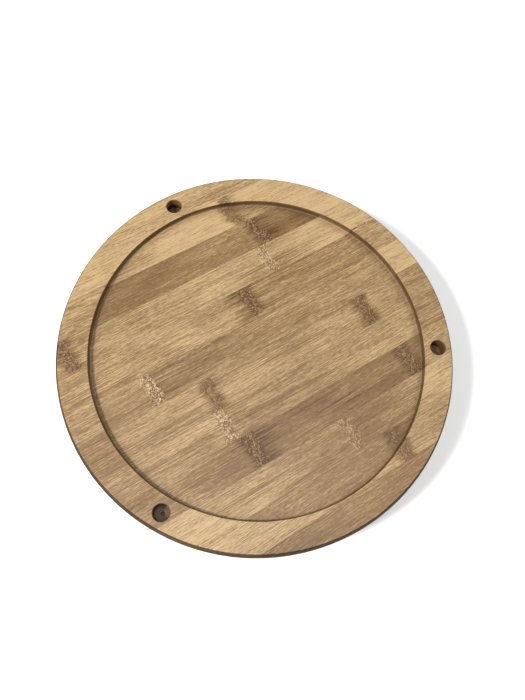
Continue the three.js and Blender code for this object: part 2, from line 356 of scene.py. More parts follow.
# ---------------------------------------------------------------- bamboo
# The tray's upper strips from -Y to +Y. Each row gives tones from 0, dark caramel, to 1, pale: first on the
# rim at its -X and +X ends, then on the recess's floor at -X, just before the knuckle, just after it and at
# +X. Next come the knuckle's place along X in millimetres, its strength, above 0 dark and below 0 pale, the
# side that its smear lies on, and how clearly dark lines run on from it. Last is the place of a second, dark
# knuckle. OFF is beyond the edge.
OFF = 148
TRAY_STRIPS = [
    ((0.1, 0.2), (0.3, 0.3, 0.3, 0.3), (OFF, 0.0, 0.0, 0.0), OFF),
    ((0.6, 0.45), (0.2, 0.3, 0.15, 0.1), (42, 0.7, 0.0, 0.0), OFF),
    ((0.7, 0.65), (0.65, 0.25, 0.05, 0.5), (20, -0.6, 0.0, 0.0), OFF),
    ((0.2, 0.4), (0.4, 0.0, 0.05, 0.05), (-36, 1.0, 0.9, 0.0), 80),
    ((0.25, 0.25), (0.4, 0.55, 0.3, 0.5), (-44, -0.9, 0.0, 0.3), OFF),
    ((0.15, 0.3), (0.35, 0.5, 0.45, 0.4), (-41, 0.7, 0.0, 0.0), 75),
    ((0.4, 0.75), (0.25, 0.4, 0.2, 0.4), (-72, -1.0, 0.0, 1.0), OFF),
    ((0.4, 0.5), (0.45, 0.45, 0.4, 0.28), (11, 1.0, -0.8, 1.0), OFF),
    ((0.45, 0.75), (0.45, 0.6, 0.45, 1.0), (37, -0.8, 0.0, 0.0), -106),
    ((0.4, 0.85), (0.0, 0.25, 0.05, 0.0), (43, 1.0, 1.0, 0.0), OFF),
    ((0.7, 0.85), (0.55, 0.85, 0.45, 0.1), (33, 0.7, 0.3, 0.0), OFF),
    ((0.75, 0.5), (0.8, 0.8, 0.8, 0.8), (OFF, 0.0, 0.0, 0.0), OFF),
]
KNUCKLE_SPAN = 300.0  # millimetres that stand for 0 to 1 in a ramp
SECOND_STRENGTH = 0.9
CHANCE_STRENGTH = 0.8  # of knuckles whose place is left to chance
PALE = (0.440, 0.304, 0.156, 1)
CARAMEL = (0.170, 0.096, 0.037, 1)
KNUCKLE_BROWN = (0.076, 0.033, 0.009, 1)
DULL_SPECK = (0.310, 0.190, 0.090, 1)
SPECK = (0.600, 0.450, 0.280, 1)
# Darker tones for turned walls and the outer side (oiled end grain, deepened with painted shade) and for
# painted shade inside the sockets.
BURNISH_AND_SHADE = (0.50, 0.44, 0.35, 1)
OUTER_SIDE_OIL_AND_SHADE = (0.40, 0.34, 0.24, 1)
SOCKET_SHADE = (0.36, 0.29, 0.20, 1)


def listed_strips(g, strips, strip, lower, x, depth, tone, first, second):
    """Puts the listed tones and knuckles in the place of chance's in the upper ply."""
    index = g.math("ADD", strip, len(strips) / 2)
    rim_a, rim_b, listed = g.per_strip(index, [(*s[0], s[2][1] / 2 + 0.5) for s in strips])
    floor_a, floor_b, floor_c = g.per_strip(index, [s[1][:3] for s in strips])
    places = [(s[2][0] / KNUCKLE_SPAN + 0.5, s[3] / KNUCKLE_SPAN + 0.5) for s in strips]
    floor_d, place_a, place_b = g.per_strip(index, [(s[1][3], *at) for s, at in zip(strips, places)])
    listed_side, listed_lines, _ = g.per_strip(index, [(s[2][2] / 2 + 0.5, s[2][3], 0) for s in strips])
    first = g.mix(lower, g.math("MULTIPLY_ADD", place_a, KNUCKLE_SPAN, -KNUCKLE_SPAN / 2), first)
    second = g.mix(lower, g.math("MULTIPLY_ADD", place_b, KNUCKLE_SPAN, -KNUCKLE_SPAN / 2), second)
    strength = g.mix(lower, g.math("MULTIPLY_ADD", listed, 2.0, -1.0), CHANCE_STRENGTH)
    smear_side = g.mix(lower, g.math("MULTIPLY_ADD", listed_side, 2.0, -1.0), 0.0)
    rim_tone = g.mix(g.between(x, -60.0, 60.0), rim_a, rim_b)
    before = g.mix(g.between(x, -100.0, first), floor_a, floor_b)
    after = g.mix(g.between(x, first, 100.0), floor_c, floor_d)
    past = g.between(g.math("SUBTRACT", x, first), -5.0, 5.0)
    floor_tone = g.mix(past, before, after)
    listed_tone = g.mix(g.between(depth, 1.0, 4.0), rim_tone, floor_tone)
    tone = g.mix(lower, listed_tone, tone)
    run = g.between(g.math("SUBTRACT", x, first), 5.0, 95.0, 1.0, 0.0)
    lines = g.math("MULTIPLY", listed_lines, g.math("MULTIPLY", run, past))
    return tone, first, second, strength, smear_side, lines


def knuckle(g, x, lean, ragged, where, how_strong, smear_to):
    """Masks of one knuckle: its dark band, its pale band and its smear."""
    away = g.math("ADD", g.math("SUBTRACT", x, where), lean)
    distance = g.math("ABSOLUTE", g.math("ADD", away, ragged))
    band = g.between(distance, 3.0, 4.8, 1.0, 0.0)
    reach = g.math("MULTIPLY", smear_to, g.math("SIGN", away))
    reach = g.math("MULTIPLY_ADD", g.math("MAXIMUM", reach, 0.0), 11.0, 9.0)
    smear = g.between(g.math("ABSOLUTE", away), 3.0, reach, 1.0, 0.0)
    dark = g.math("MAXIMUM", how_strong, 0.0)
    pale = g.math("MAXIMUM", g.math("MULTIPLY", how_strong, -1.0), 0.0)
    return [g.math("MULTIPLY", a, b) for a, b in ((band, dark), (band, pale), (smear, dark))]


def tray_shade_and_dirt(g, colour, place, depth, side, normal_z):
    """Painted shade in the sockets and the corner of the recess, a darker outer side (oiled end grain and
    painted shade), and dirt in the glue line that has opened.
    """
    x0, y0, _ = g.xyz(place)
    radius = g.math("SQRT", g.math("ADD", g.math("MULTIPLY", x0, x0), g.math("MULTIPLY", y0, y0)))
    # painted shade darkens the inside of the sockets
    socket = g.math("MULTIPLY", g.between(depth, 4.6, 6.5), g.math("LESS_THAN", radius, RIM_INSIDE_EDGE))
    socket = g.math("MULTIPLY", socket, g.math("GREATER_THAN", normal_z, -0.5))
    colour = g.mix_colour(socket, colour, g.mix_colour(1.0, colour, SOCKET_SHADE, blend="MULTIPLY"))
    # painted shade: the recess's floor darkens towards its wall, in knuckle brown
    corner = g.between(radius, RECESS_RADIUS - 10.0, RECESS_RADIUS)
    corner = g.math("MULTIPLY", g.math("MULTIPLY", corner, corner), g.math("GREATER_THAN", depth, 1.0))
    corner = g.math("MULTIPLY", corner, g.math("LESS_THAN", depth, TRAY_TOP - RECESS_FLOOR + 0.5))
    corner = g.math("MULTIPLY", corner, g.math("LESS_THAN", radius, RECESS_RADIUS + 0.5))
    colour = g.mix_colour(g.math("MULTIPLY", corner, 0.32), colour, KNUCKLE_BROWN)
    # the tray's outer side is darker: partly oiled end grain, partly painted shade
    rim_side_shade = g.math("MULTIPLY", side, g.math("GREATER_THAN", radius, RIM_INSIDE_EDGE))
    colour = g.mix_colour(rim_side_shade, colour, g.mix_colour(1.0, colour, OUTER_SIDE_OIL_AND_SHADE, blend="MULTIPLY"))
    # dirt in the glue line that has opened
    dirt = g.math("ABSOLUTE", g.math("SUBTRACT", y0, 2 * STRIP_WIDTH + STRIP_OFFSET))
    dirt = g.math("MULTIPLY", g.between(dirt, 0.3, 0.8, 1.0, 0.0), g.between(x0, 112.0, 118.0, 1.0, 0.0))
    dirt = g.math("MULTIPLY", dirt, g.math("GREATER_THAN", x0, 94.0))
    dirt = g.math("MULTIPLY", dirt, g.between(g.noise(place, scale=0.6), 0.36, 0.52))
    colour = g.mix_colour(g.math("MULTIPLY", dirt, 0.8), colour, KNUCKLE_BROWN)
    return colour


def bamboo(name, top, ply, strips, seed):
    """Strips of bamboo glued side by side in three plies, the middle one crosswise."""
    g = Graph(name)
    place = g.place()
    x0, y0, z = g.xyz(place)
    depth = g.math("SUBTRACT", top, z)
    normal_z = g.xyz(g.node("TexCoord", {}, out=1))[2]
    side = g.between(g.math("ABSOLUTE", normal_z), 0.70, 0.985, 1.0, 0.0)

    # which ply, and the place in that ply's own grain
    layer = g.math("FLOOR", g.math("DIVIDE", g.math("ADD", depth, 0.01), ply))
    crosswise = g.math("COMPARE", layer, 1.0, 0.5)
    lower = g.math("GREATER_THAN", layer, 0.5)
    x = g.mix(crosswise, x0, y0)
    y = g.math("SUBTRACT", g.mix(crosswise, y0, x0), STRIP_OFFSET)
    y = g.math("ADD", y, g.math("MULTIPLY", lower, 8.0))

    # which strip, and where across it
    across = g.math("DIVIDE", y, STRIP_WIDTH)
    strip = g.math("FLOOR", across)
    share = g.math("FRACT", across)
    chance = g.node("TexWhiteNoise", {"Vector": g.vector(strip, layer, seed)}, out=1)
    chance_a, chance_b, chance_c = g.xyz(chance)

    # the strip's tone and its knuckles: listed for the tray's upper ply, left to chance elsewhere
    tone = g.math("MULTIPLY_ADD", chance_a, 0.75, 0.15)
    first = g.math("MULTIPLY_ADD", chance_b, 2 * TRAY_RADIUS, -TRAY_RADIUS)
    second = g.math("ADD", first, 2 * TRAY_RADIUS)
    strength, smear_side, lines = CHANCE_STRENGTH, 0.0, 0.0
    if strips:
        looked_up = listed_strips(g, strips, strip, lower, x, depth, tone, first, second)
        tone, first, second, strength, smear_side, lines = looked_up

    # every strip has a grain of its own: its coordinates are moved by chance
    own_x = g.math("ADD", x, g.math("MULTIPLY", chance_a, 700.0))
    own_y = g.math("ADD", y, g.math("MULTIPLY", chance_c, 300.0))
    own = g.vector(own_x, own_y, z)

    # knuckles: a band across the strip with ragged edges, and a streaky smear beside it
    lean = g.noise(g.scaled(own, (0.0, 0.06, 0.06)), detail=1.0)
    lean = g.math("MULTIPLY_ADD", lean, 10.0, -5.0)
    ragged = g.noise(g.scaled(own, (0.25, 1.1, 1.1)), detail=3.0, roughness=0.65)
    ragged = g.math("MULTIPLY_ADD", ragged, 11.0, -5.5)

    main = knuckle(g, x, lean, ragged, first, strength, smear_side)
    other = knuckle(g, x, lean, ragged, second, SECOND_STRENGTH, 0.0)
    dark_band, pale_band, smear = [g.math("MAXIMUM", a, b) for a, b in zip(main, other)]
    band = g.math("MAXIMUM", dark_band, pale_band)

    # fibres: straight along X, bent a little, ruffled in some places and swirled in a knuckle
    sway = g.math("MULTIPLY_ADD", g.noise(g.scaled(own, (0.009, 0.035, 0.035)), detail=1.0), 5.0, -2.5)
    ruffle = g.math("MULTIPLY_ADD", g.noise(g.scaled(own, (0.075, 0.12, 0.12)), detail=1.0), 3.0, -1.5)
    ruffled = g.between(g.noise(g.scaled(own, (0.013, 0.05, 0.05)), detail=1.0), 0.52, 0.66)
    swirl = g.math("MULTIPLY_ADD", g.noise(g.scaled(own, (0.30, 0.40, 0.40)), detail=2.0), 12.0, -6.0)
    bend = g.math("ADD", sway, g.math("MULTIPLY", ruffle, ruffled))
    bend = g.math("ADD", bend, g.math("MULTIPLY", swirl, band))
    bent = g.vector(own_x, g.math("ADD", own_y, bend), g.math("MULTIPLY_ADD", bend, 0.5, z))
    flow = g.noise(g.scaled(bent, (0.012, 0.20, 0.20)), detail=2.0, roughness=0.6)
    streaks = g.noise(g.scaled(bent, (0.020, 0.80, 0.80)), detail=3.0, roughness=0.6)
    threads = g.noise(g.scaled(bent, (0.055, 2.6, 2.6)), detail=2.0, roughness=0.65)
    combed = g.noise(g.scaled(bent, (0.004, 0.62, 0.62)), detail=0.0)
    comb_place = g.noise(g.scaled(own, (0.011, 0.09, 0.09)), detail=1.0)
    patches = g.noise(g.scaled(own, (0.025, 0.09, 0.09)), detail=3.0)
    pores = g.noise(g.scaled(bent, (0.35, 2.4, 2.4)), detail=2.0)
    bundles = g.cells(g.scaled(bent, (0.03, 1.9, 1.9)))
    curls = g.noise(g.scaled(own, (1.15, 0.66, 0.66)), detail=2.0, roughness=0.5, distortion=1.2)

    # tone of the fibres, from broad patches down to single threads
    level = g.math("ADD", tone, g.between(patches, 0.30, 0.70, -0.09, 0.09))
    level = g.math("ADD", level, g.between(flow, 0.30, 0.70, -0.05, 0.05))
    level = g.math("ADD", level, g.between(streaks, 0.30, 0.70, -0.02, 0.02))
    level = g.math("ADD", level, g.between(threads, 0.30, 0.70, -0.29, 0.29))
    level = g.math("ADD", level, g.between(pores, 0.30, 0.70, -0.22, 0.22))
    comb_place = g.math("MAXIMUM", lines, g.between(comb_place, 0.50, 0.60, 0.0, 0.8))
    combed = g.math("ABSOLUTE", g.math("SUBTRACT", combed, 0.5))
    comb = g.math("MULTIPLY", g.between(combed, 0.02, 0.08, 1.0, 0.0), comb_place)
    level = g.math("SUBTRACT", level, g.math("MULTIPLY", comb, 0.38))
    smear = g.math("MULTIPLY", smear, g.between(streaks, 0.44, 0.54, 1.0, 0.30))
    level = g.math("SUBTRACT", level, g.math("MULTIPLY", smear, 0.72))
    colour = g.mix_colour(g.between(level, 0.0, 1.15, 0.0, 1.15), CARAMEL, PALE)
    below = g.math("MULTIPLY", g.math("MINIMUM", level, 0.0), -1.8, clamp=True)
    colour = g.mix_colour(below, colour, KNUCKLE_BROWN)
    vessels = g.between(bundles, 0.05, 0.30, 0.93, 1.01)
    colour = g.node("VectorMath", {0: colour, 3: vessels}, operation="SCALE")

    # in a knuckle the fibres' curled ends show as pale and dark specks
    light_curl = g.between(curls, 0.53, 0.58)
    dark_curl = g.between(curls, 0.43, 0.49, 1.0, 0.0)
    brown = g.math("MULTIPLY", dark_band, g.between(curls, 0.46, 0.55, 1.0, 0.55))
    outline = g.math("MULTIPLY", g.math("MULTIPLY", pale_band, dark_curl), 0.75)
    colour = g.mix_colour(g.math("MAXIMUM", brown, outline), colour, KNUCKLE_BROWN)
    dull = g.math("MULTIPLY", g.math("MULTIPLY", dark_band, light_curl), 0.75)
    colour = g.mix_colour(dull, colour, DULL_SPECK)
    bright = g.math("MULTIPLY", g.math("MULTIPLY", pale_band, light_curl), 0.65)
    colour = g.mix_colour(bright, colour, SPECK)

    # glue lines between strips and plies
    near_edge = g.math("MULTIPLY", g.math("MINIMUM", share, g.math("SUBTRACT", 1.0, share)), STRIP_WIDTH)
    ply_share = g.math("FRACT", g.math("DIVIDE", g.math("ADD", depth, 0.01), ply))
    near_ply = g.math("MULTIPLY", g.math("MINIMUM", ply_share, g.math("SUBTRACT", 1.0, ply_share)), ply)
    ply_line = g.math("MULTIPLY", g.between(near_ply, 0.03, 0.16, 1.0, 0.0), side)
    line = g.math("MAXIMUM", g.between(near_edge, 0.03, 0.20, 0.4, 0.0), ply_line)
    colour = g.mix_colour(g.math("MULTIPLY", line, 0.6), colour, KNUCKLE_BROWN)

    # turned walls and edges are burnished, and deepened further with painted shade
    colour = g.mix_colour(side, colour, g.mix_colour(1.0, colour, BURNISH_AND_SHADE, blend="MULTIPLY"))
    if strips:
        colour = tray_shade_and_dirt(g, colour, place, depth, side, normal_z)
    g.put(g.shader.inputs["Base Color"], colour)

    # an oiled satin surface, a little rougher along the bundles
    rough = g.between(bundles, 0.05, 0.4, 0.50, 0.40)
    rough = g.math("ADD", rough, g.between(patches, 0.3, 0.7, -0.03, 0.03))
    g.put(g.shader.inputs["Roughness"], g.mix(side, rough, 0.85))
    g.shader.inputs["IOR"].default_value = 1.45
    g.shader.inputs["Specular IOR Level"].default_value = 0.42
    relief = g.math("ADD", g.math("MULTIPLY", bundles, 0.5), g.math("MULTIPLY", threads, 0.8))
    relief = g.math("ADD", relief, g.math("MULTIPLY", streaks, 0.8))
    relief = g.math("SUBTRACT", relief, g.math("MULTIPLY", line, 0.9))
    relief = g.math("ADD", relief, g.math("MULTIPLY", g.math("MULTIPLY", band, curls), 2.0))
    g.put(g.shader.inputs["Normal"], g.bump(relief, 0.06))
    return g.material


# ---------------------------------------------------------------- metal, nylon and rubber
def zinc(name, colour, seed):
    """Zinc-plated sheet: faint mottling, rolling lines along X and a few fine scratches."""
    g = Graph(name)
    place = g.node("VectorMath", {0: g.place(), 1: (seed, seed, 0)}, operation="ADD")
    mottle = g.noise(place, scale=0.35, detail=4.0, roughness=0.6)
    rolled = g.noise(g.scaled(place, (0.08, 5.0, 5.0)), detail=2.0)
    scratch = g.noise(g.scaled(place, (1.4, 0.05, 1.4)), scale=1.0, detail=1.0, distortion=1.2)
    scratched = g.between(scratch, 0.66, 0.72)
    dull = tuple(c * 0.72 for c in colour)
    shade = g.mix_colour(g.between(mottle, 0.3, 0.7), (*dull, 1), (*colour, 1))
    g.put(g.shader.inputs["Base Color"], shade)
    g.shader.inputs["Metallic"].default_value = 1.0
    rough = g.math("ADD", g.between(mottle, 0.3, 0.7, 0.46, 0.30), g.math("MULTIPLY", scratched, 0.12))
    g.put(g.shader.inputs["Roughness"], rough)
    relief = g.math("ADD", g.math("MULTIPLY", rolled, 0.6), g.math("MULTIPLY", mottle, 0.8))
    g.put(g.shader.inputs["Normal"], g.bump(relief, 0.012))
    return g.material


def ball_steel():
    """Polished steel with a thin film of grease that breaks its shine in places."""
    g = Graph("ball_steel")
    film = g.noise(g.place(), scale=0.9, detail=3.0)
    g.put(g.shader.inputs["Base Color"], g.mix_colour(film, (0.62, 0.61, 0.58, 1), (0.80, 0.80, 0.81, 1)))
    g.shader.inputs["Metallic"].default_value = 1.0
    g.put(g.shader.inputs["Roughness"], g.between(film, 0.35, 0.65, 0.22, 0.08))
    return g.material


def nylon():
    """Natural moulded nylon, slightly see-through and faintly flow-marked."""
    g = Graph("nylon")
    flow = g.noise(g.place(), scale=0.12, detail=3.0, distortion=1.5)
    g.put(g.shader.inputs["Base Color"], g.mix_colour(flow, (0.72, 0.68, 0.58, 1), (0.86, 0.84, 0.77, 1)))
    g.put(g.shader.inputs["Roughness"], g.between(flow, 0.3, 0.7, 0.38, 0.52))
    g.shader.inputs["Subsurface Weight"].default_value = 0.15
    g.shader.inputs["Subsurface Scale"].default_value = 0.001
    fine = g.noise(g.place(), scale=3.0, detail=2.0)
    g.put(g.shader.inputs["Normal"], g.bump(fine, 0.01))
    return g.material


def rubber():
    """Black moulded rubber with a fine grain and a grey bloom."""
    g = Graph("rubber")
    grain = g.noise(g.place(), scale=6.0, detail=3.0)
    bloom = g.noise(g.place(), scale=0.4, detail=4.0)
    shade = g.mix_colour(bloom, (0.018, 0.018, 0.018, 1), (0.050, 0.048, 0.046, 1))
    g.put(g.shader.inputs["Base Color"], shade)
    g.put(g.shader.inputs["Roughness"], g.between(bloom, 0.3, 0.7, 0.72, 0.88))
    g.put(g.shader.inputs["Normal"], g.bump(grain, 0.03))
    return g.material


# ---------------------------------------------------------------- wooden pieces
def drill(name, radius, floor, top, point, place, chamfer=FINE_ARRIS):
    """A cutter for a flat-bottomed hole with the cone of the drill's centre point."""
    profile = [
        (0, floor - point), (point, floor), (radius, floor),
        (radius, top - chamfer), (radius + 2 * chamfer, top + chamfer), (0, top + chamfer),
    ]
    return in_metres(turned(profile, 56), name, (place.x, place.y, 0))


def pilot(name, node, head_down, reach):
    """A cutter for the hole round a screw's shank, from a wooden face to just past its point."""
    low, high = box_mm(node)
    centre = centre_mm(node)
    bottom, top = (reach, high.z + 0.2) if head_down else (low.z - 0.2, reach)
    radius = SCREW_SHANK[node.rsplit("_", 1)[0]] + SHANK_CLEARANCE
    profile = [(0, bottom), (radius, bottom), (radius, top), (0, top)]
    return in_metres(turned(profile, 24), name, (centre.x, centre.y, 0))


def open_glue_line():
    """A cutter for the short gap where one glue line has opened at the edge of the recess."""
    bm = bmesh.new()
    strip_edge = 2 * STRIP_WIDTH + STRIP_OFFSET
    near = math.sqrt(RECESS_RADIUS**2 - strip_edge**2) - 0.5
    length, widest, low = 9.5, 0.42, TRAY_TOP - 1.3
    outline = [(near, -widest / 2), (near + length, 0), (near, widest / 2)]
    rings = [[bm.verts.new((x, strip_edge + y, z)) for x, y in outline] for z in (low, TRAY_TOP + 1)]
    bm.faces.new(rings[0][::-1])
    bm.faces.new(rings[1])
    for i in range(3):
        j = (i + 1) % 3
        bm.faces.new((rings[0][i], rings[0][j], rings[1][j], rings[1][i]))
    bmesh.ops.recalc_face_normals(bm, faces=bm.faces)
    return in_metres(bm, "glue_gap")


def crowned_side():
    """The tray's side: an arc that is widest halfway up, with both edges eased."""
    half, crown = (TRAY_TOP - TRAY_BOTTOM) / 2, TRAY_RADIUS - TRAY_FACE_RADIUS
    radius = (half**2 + crown**2) / (2 * crown)
    limit = math.degrees(math.asin((half - FINE_ARRIS) / radius))
    bow = arc(TRAY_RADIUS - radius, TRAY_BOTTOM + half, radius, -limit, limit, 16)
    face = TRAY_FACE_RADIUS - FINE_ARRIS
    easing = FINE_ARRIS * 0.35
    low_edge = [(face, TRAY_BOTTOM), (face + easing, TRAY_BOTTOM + easing / 3)]
    high_edge = [(face + easing, TRAY_TOP - easing / 3), (face, TRAY_TOP)]
    return low_edge + bow + high_edge


def make_tray(material):
    profile = [
        (0, TRAY_BOTTOM),
        *crowned_side(),
        *arc(RECESS_RADIUS + FINE_ARRIS, TRAY_TOP - FINE_ARRIS, FINE_ARRIS, 90, 180, 4),
        *arc(RECESS_RADIUS - RECESS_COVE, RECESS_FLOOR + RECESS_COVE, RECESS_COVE, 0, -90, 10),
        (0, RECESS_FLOOR),
    ]
    tray = in_metres(turned(profile, 288), "tray_wood")
    sockets = [opening_centre_mm(f"post_socket_{i}") for i in (1, 2, 3)]
    cutters = [drill("socket", SOCKET_RADIUS, SOCKET_FLOOR, TRAY_TOP, DRILL_POINT, at) for at in sockets]
    cutters += [pilot("pilot", node, True, TRAY_BOTTOM - 1) for node in nodes_named("tray_screw")]
    cut_out(tray, cutters + [open_glue_line()])
    piece(tray, "turntable", material, "bamboo", "tray")


def make_base(material):
    profile = [
        (0, BASE_LOW.z),
        *arc(BASE_RADIUS - BASE_ARRIS, BASE_LOW.z + BASE_ARRIS, BASE_ARRIS, -90, 0),
        *arc(BASE_RADIUS - BASE_ARRIS, BASE_HIGH.z - BASE_ARRIS, BASE_ARRIS, 0, 90),
        (0, BASE_HIGH.z),
    ]
    base = in_metres(turned(profile, 240), "base_wood")
    at = opening_centre_mm("screwdriver_access")
    low, high, chamfer = BASE_LOW.z, BASE_HIGH.z, 0.5
    hole = [
        (0, low - chamfer), (ACCESS_RADIUS + 2 * chamfer, low - chamfer), (ACCESS_RADIUS, low + chamfer),
        (ACCESS_RADIUS, high - chamfer), (ACCESS_RADIUS + 2 * chamfer, high + chamfer), (0, high + chamfer),
    ]
    cutters = [in_metres(turned(hole, 64), "access", (at.x, at.y, 0))]
    cutters += [pilot("pilot", node, False, high + 1) for node in nodes_named("base_screw")]
    cutters += [pilot("pilot", node, True, low - 1) for node in nodes_named("foot_screw")]
    cut_out(base, cutters)
    piece(base, "base", material, "bamboo", "base_disc")


# ---------------------------------------------------------------- swivel
RACE_FLOOR = 1.6
RACE_CREST = 2.6
RACE_OUTER_CREST = 36.0
RACE_INNER_CREST = 30.4
RACE_FOOT = 38.0
LIP_RADIUS = 28.0
NECK_RADIUS = 27.0
CURL_RADIUS = 29.4
CURL_LEVEL = 6.6
RING_SEGMENTS = 144


def race_profile():
    """Ball side of the pressed ring: up from the flat sheet, over a crest, through the groove to a crest."""
    half = (RACE_OUTER_CREST - RACE_INNER_CREST) / 2
    rise = RACE_CREST - RACE_FLOOR
    groove = (half**2 + rise**2) / (2 * rise)
    steps = 10
    across = [half * (1 - 2 * i / steps) for i in range(steps + 1)]
    middle = (RACE_OUTER_CREST + RACE_INNER_CREST) / 2
    dip = [(middle + s, RACE_FLOOR + groove - math.sqrt(groove**2 - s**2)) for s in across]
    return [(RACE_FOOT + 1, SHEET), (RACE_FOOT, SHEET), *dip]


def pressed_plate(name, inner_profile, hole_places, turn, level):
    """A square sheet with a pressed ring, built ball side up with its outer face at height 0."""
    bm = bmesh.new()
    edges = round_cornered_loop(bm, SWIVEL_HALF, SHEET_CORNER, SHEET)
    edges += circle(bm, 0, 0, RACE_FOOT + 1, RING_SEGMENTS, SHEET)
    for x, y in hole_places:
        edges += circle(bm, x, y, PLATE_HOLE_RADIUS, 28, SHEET)
    bmesh.ops.triangle_fill(bm, use_beauty=True, edges=edges, normal=(0, 0, 1))
    ring = eased(race_profile()[1:] + inner_profile)
    spin(bm, [(RACE_FOOT + 1, SHEET), *ring], RING_SEGMENTS)
    bmesh.ops.remove_doubles(bm, verts=bm.verts, dist=1e-4)
    bmesh.ops.recalc_face_normals(bm, faces=bm.faces)
    if sum(f.normal.z * f.calc_area() for f in bm.faces) < 0:
        bmesh.ops.reverse_faces(bm, faces=bm.faces)
    plate = in_metres(bm, name, (0, 0, level), turn)
    solidify(plate, SHEET)
    bevel(plate, 0.12, 2, 50)
    return plate


def make_swivel(sheet_metal):
    places = [centre_mm(node).xy for node in nodes_named("base_screw")]
    inner_lip = [(LIP_RADIUS, RACE_CREST)]
    lower = pressed_plate("lower_plate", inner_lip, places, None, BASE_HIGH.z)
    piece(lower, "base", sheet_metal, "zinc_plate", "swivel_lower_plate")
    neck_and_curl = [(NECK_RADIUS, RACE_CREST), (NECK_RADIUS, CURL_LEVEL), (CURL_RADIUS, CURL_LEVEL)]
    over = Matrix.Rotation(TURN / 8, 4, "Z") @ Matrix.Rotation(TURN / 2, 4, "X")
    upper = pressed_plate("upper_plate", neck_and_curl, places, over, TRAY_BOTTOM)
    piece(upper, "turntable", sheet_metal, "zinc_plate", "swivel_upper_plate")


def make_cage(material):
    low, high = box_mm("ball_cage")
    bm = bmesh.new()
    inner = RACE_RADIUS - (high.x - RACE_RADIUS)
    edges = circle(bm, 0, 0, high.x, RING_SEGMENTS) + circle(bm, 0, 0, inner, RING_SEGMENTS)
    for node in nodes_named("bearing_ball"):
        at = centre_mm(node)
        edges += circle(bm, at.x, at.y, BALL_RADIUS + BALL_CLEARANCE, 36)
    bmesh.ops.triangle_fill(bm, use_beauty=True, edges=edges, normal=(0, 0, 1))
    bmesh.ops.recalc_face_normals(bm, faces=bm.faces)
    if sum(f.normal.z for f in bm.faces) < 0:
        bmesh.ops.reverse_faces(bm, faces=bm.faces)
    cage = in_metres(bm, "cage_ring", (0, 0, high.z))
    solidify(cage, high.z - low.z)
    bevel(cage, 0.15, 2, 50)
    piece(cage, "ball_ring", material, "nylon", "ball_cage")


def make_balls(material):
    """Each ball is a cube whose faces are divided and pushed out to the sphere."""
    for i, node in enumerate(nodes_named("bearing_ball"), 1):
        bm = bmesh.new()
        bmesh.ops.create_cube(bm, size=1)
        bmesh.ops.subdivide_edges(bm, edges=bm.edges, cuts=7, use_grid_fill=True)
        for vert in bm.verts:
            x, y, z = (math.tan(c * TURN / 4) for c in vert.co)
            vert.co = Vector((x, y, z)).normalized() * BALL_RADIUS
        ball = in_metres(bm, f"ball_{i}", centre_mm(node))
        piece(ball, "ball_ring", material, "ball_steel", node)


# ---------------------------------------------------------------- screws, washers and feet
SCREW_SHANK = {"tray_screw": 2.0, "base_screw": 2.0, "foot_screw": 1.7}
SCREW_HEAD_HEIGHT = {"tray_screw": 2.0, "base_screw": 2.0, "foot_screw": 1.4}
THREAD_PITCH = 1.5


def thread_rings(bm, shank, start, end, segments=24):
    """Rings of a wood screw's thread from start to a point at end; each turn stands out of a thinner core."""
    steps = int((end - start) / THREAD_PITCH * 10)
    core = 0.66 * shank
    point_from = end - 2.4 * shank
    rings = []
    for i in range(steps + 1):
        z = start + (end - start) * i / steps
        taper = min(1.0, max(0.0, (end - z) / (end - point_from)))
        fade = min(1.0, (z - start) / THREAD_PITCH)
        ring = []
        for j in range(segments):
            phase = (z / THREAD_PITCH + j / segments) % 1.0
            crest = max(0.0, 1 - abs(phase - 0.5) / 0.22)
            radius = (core + (shank - core) * (crest * fade + (1 - fade))) * taper
            angle = TURN * j / segments
            ring.append(bm.verts.new((radius * math.cos(angle), radius * math.sin(angle), z)))
        rings.append(ring)
    return rings


def driver_blade(head, depth, quarter):
    """One tapered blade of a screwdriver's crossed tip, from height -1 up to depth."""
    bm = bmesh.new()
    corners = ((-1, -1), (1, -1), (1, 1), (-1, 1))
    low = [bm.verts.new((0.60 * head * sx, 0.13 * head * sy, -1)) for sx, sy in corners]
    high = [bm.verts.new((0.22 * head * sx, 0.07 * head * sy, depth)) for sx, sy in corners]
    bm.faces.new(low[::-1])
    bm.faces.new(high)
    for i in range(4):
        j = (i + 1) % 4
        bm.faces.new((low[i], low[j], high[j], high[i]))
    bm.transform(Matrix.Rotation(quarter * TURN / 4, 4, "Z"))
    bmesh.ops.recalc_face_normals(bm, faces=bm.faces)
    return bm


def screw_mesh(stem, length):
    """A pan-head wood screw, head down at height 0, its shank and point upwards."""
    shank, tall = SCREW_SHANK[stem], SCREW_HEAD_HEIGHT[stem]
    low, high = box_mm(stem + "_1")
    head = (high.x - low.x) / 2
    segments = 24
    bm = bmesh.new()
    profile = eased([(0, 0), (0.55 * head, 0.02), (0.93 * head, 0.35 * tall), (head, 0.80 * tall)], 3)
    profile += [(head, 0.92 * tall), (head - 0.1, tall), (shank, tall), (shank, tall + 0.4)]
    spin(bm, profile, segments)
    rings = thread_rings(bm, shank, tall + 0.4, length, segments)
    for lower, upper in zip(rings, rings[1:]):
        for i in range(segments):
            j = (i + 1) % segments
            bm.faces.new((lower[i], lower[j], upper[j], upper[i]))
    bmesh.ops.remove_doubles(bm, verts=bm.verts, dist=1e-4)
    bmesh.ops.recalc_face_normals(bm, faces=bm.faces)
    return bm, head, tall


